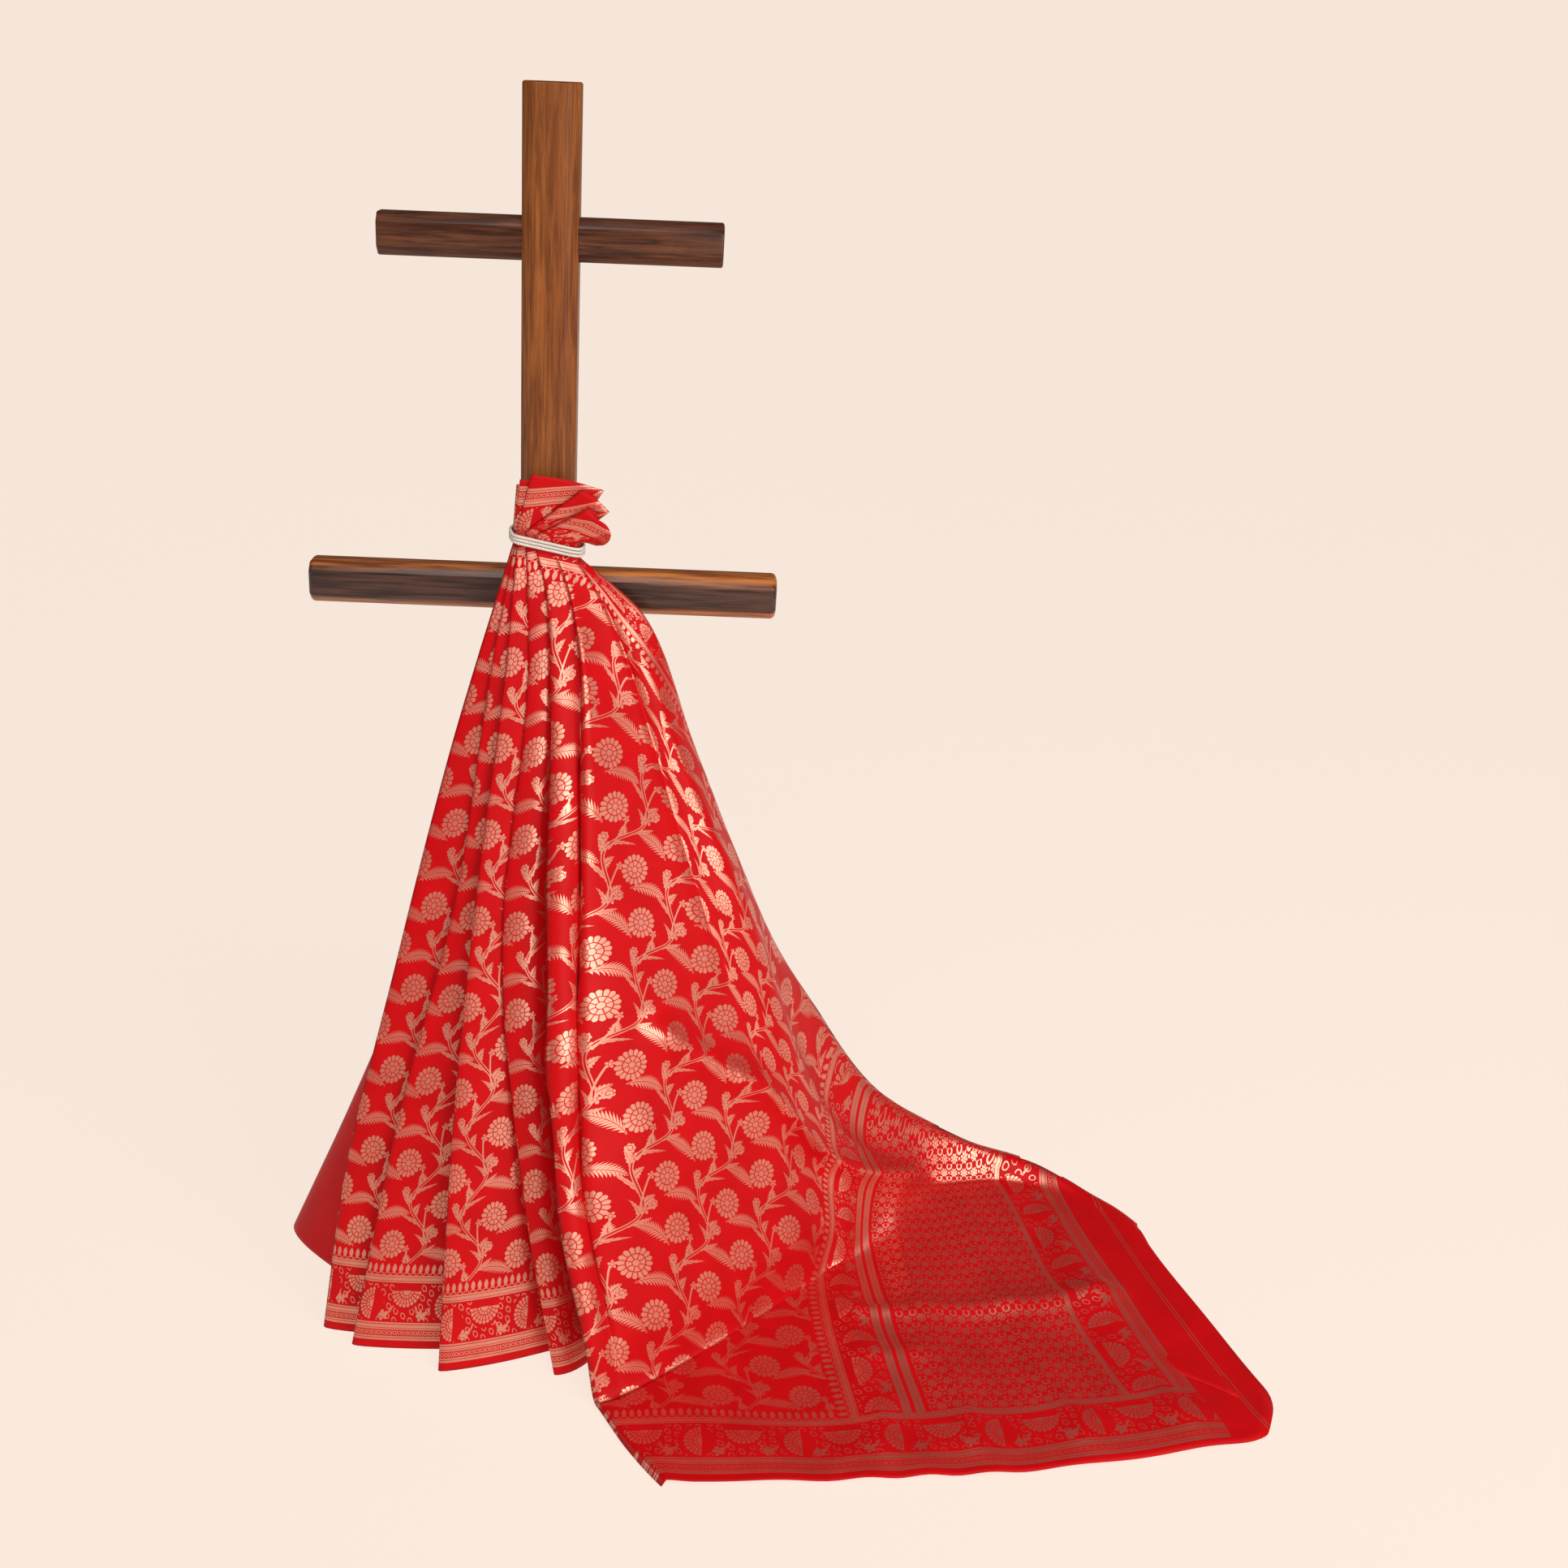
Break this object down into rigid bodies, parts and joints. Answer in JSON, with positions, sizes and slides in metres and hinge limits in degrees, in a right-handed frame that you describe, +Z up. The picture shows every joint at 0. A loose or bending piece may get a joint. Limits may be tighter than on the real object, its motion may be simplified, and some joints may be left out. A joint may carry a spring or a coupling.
{
  "type": "silk sari on wooden cross stand",
  "caption": "Knife-pleated silk sari with zari borders, tied by a cord to a wooden post with crossbars, its end spread over the floor.",
  "frame": {"origin": "on the floor under the middle of the post, in the underside of the cross foot", "axes": "+Z up along the post; +X to the viewer's right, along the crossbars; -Y towards the viewer, the side on which the sari hangs"},
  "size_m": [1.3411, 0.8225, 1.562],
  "materials": {
    "silk": "satin silk with copper zari brocade",
    "cotton": "twisted white cotton cord",
    "teak": "satin varnish",
    "dark_wood": "polished dark wood with orange streaks"
  },
  "bodies": {
    "root": {"sari": "silk", "tie_cord": "cotton", "post": "teak", "foot_along_x": "teak", "foot_along_y": "teak", "lower_bar": "dark_wood", "upper_bar": "dark_wood"}
  },
  "joints": []
}
